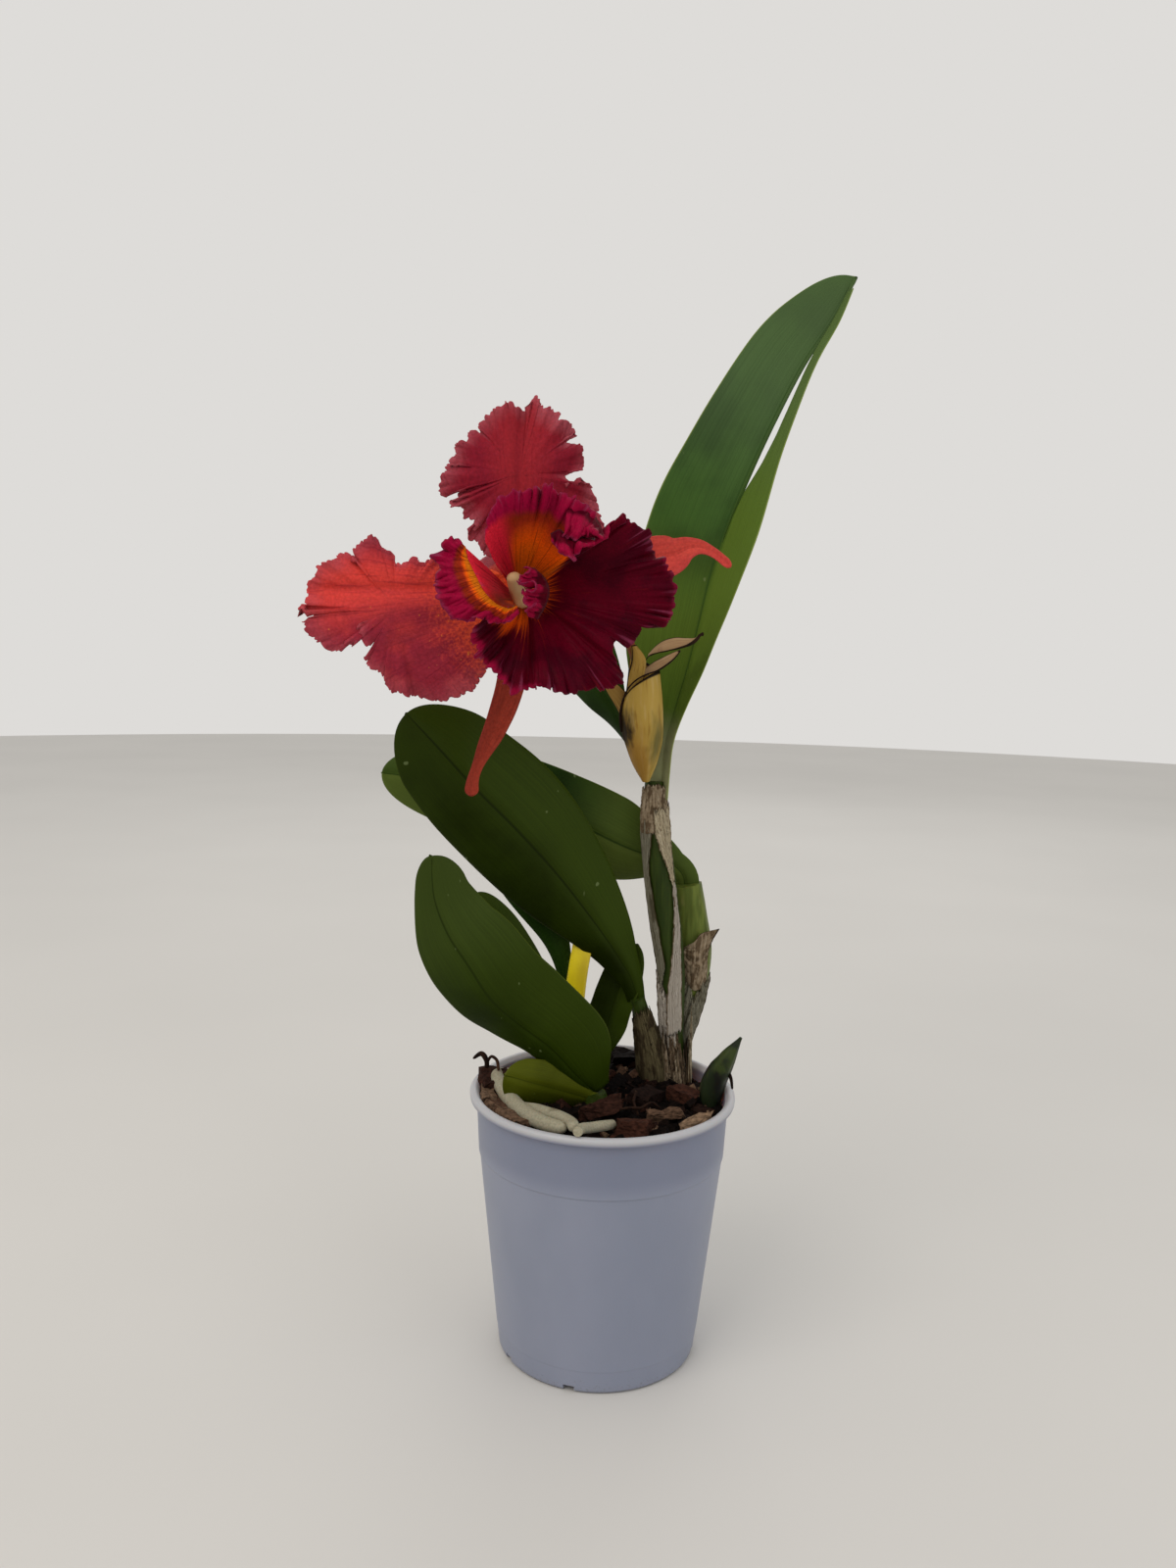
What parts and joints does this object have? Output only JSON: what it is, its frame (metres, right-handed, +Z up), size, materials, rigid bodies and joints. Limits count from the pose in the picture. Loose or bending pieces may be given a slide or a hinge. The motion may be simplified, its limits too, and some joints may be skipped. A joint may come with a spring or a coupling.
{
  "type": "potted cattleya orchid",
  "caption": "Flowering orchid with strap leaves on swollen stems, a ruffled flower with a frilled lip and a dried sheath, growing in a bark-filled tapered plastic nursery pot",
  "frame": {"origin": "middle of the pot's underside, on the surface it stands on", "axes": "+Z up along the pot's axis; the flower faces -Y; +X is to the right as the flower is faced"},
  "size_m": [0.2297, 0.142, 0.4889],
  "materials": {
    "pot": "satin pale cool grey moulded polypropylene",
    "bark": "rough damp dark pine bark",
    "leaf": "stiff waxy dark green leaf",
    "leaf_olive": "waxy yellow-olive ageing leaf",
    "bulb": "furrowed green-brown stem, half gloss",
    "shoot": "smooth grey-green young growth, purple at its foot",
    "paper": "dry fibrous papery sheath",
    "spathe": "dried leathery tan sheath with dark brown margins",
    "root": "matt silver-green spongy root skin",
    "petal": "soft coral-red petal with fine veins",
    "sepal": "soft orange-coral sepal",
    "lip": "velvety dark crimson lip with a magenta frill",
    "column": "fleshy cream column",
    "label": "bright yellow polystyrene tag, bare"
  },
  "bodies": {
    "root": {"pot": "pot", "rhizome": "bulb", "pseudobulb_tall": "bulb", "pseudobulb_back": "bulb", "pseudobulb_mid": "bulb", "pseudobulb_front": "bulb", "pseudobulb_small_left": "bulb", "pseudobulb_small_mid": "bulb", "pseudobulb_small_right": "bulb", "new_shoot": "shoot", "leaf_tall": "leaf", "leaf_tall_second": "leaf", "leaf_mid": "leaf", "leaf_back": "leaf", "leaf_front": "leaf", "leaf_low": "leaf_olive", "leaf_small_left": "leaf", "leaf_small_mid": "leaf", "leaf_small_right": "leaf", "sheath_collar": "paper", "sheath_strip": "paper", "sheath_side": "paper", "sheath_foot": "paper", "sheath_back": "paper", "sheath_mid": "paper", "spathe": "spathe", "inner_bract": "spathe", "pedicel": "sepal", "column": "column", "lip": "lip", "petal_upper": "petal", "petal_left": "petal", "sepal_right": "sepal", "sepal_lower": "sepal", "sepal_dorsal": "sepal", "root_outer": "root", "root_inner": "root", "root_rim": "root", "root_tip": "root", "label_tag": "label", "bark_mix": "bark"}
  },
  "joints": []
}
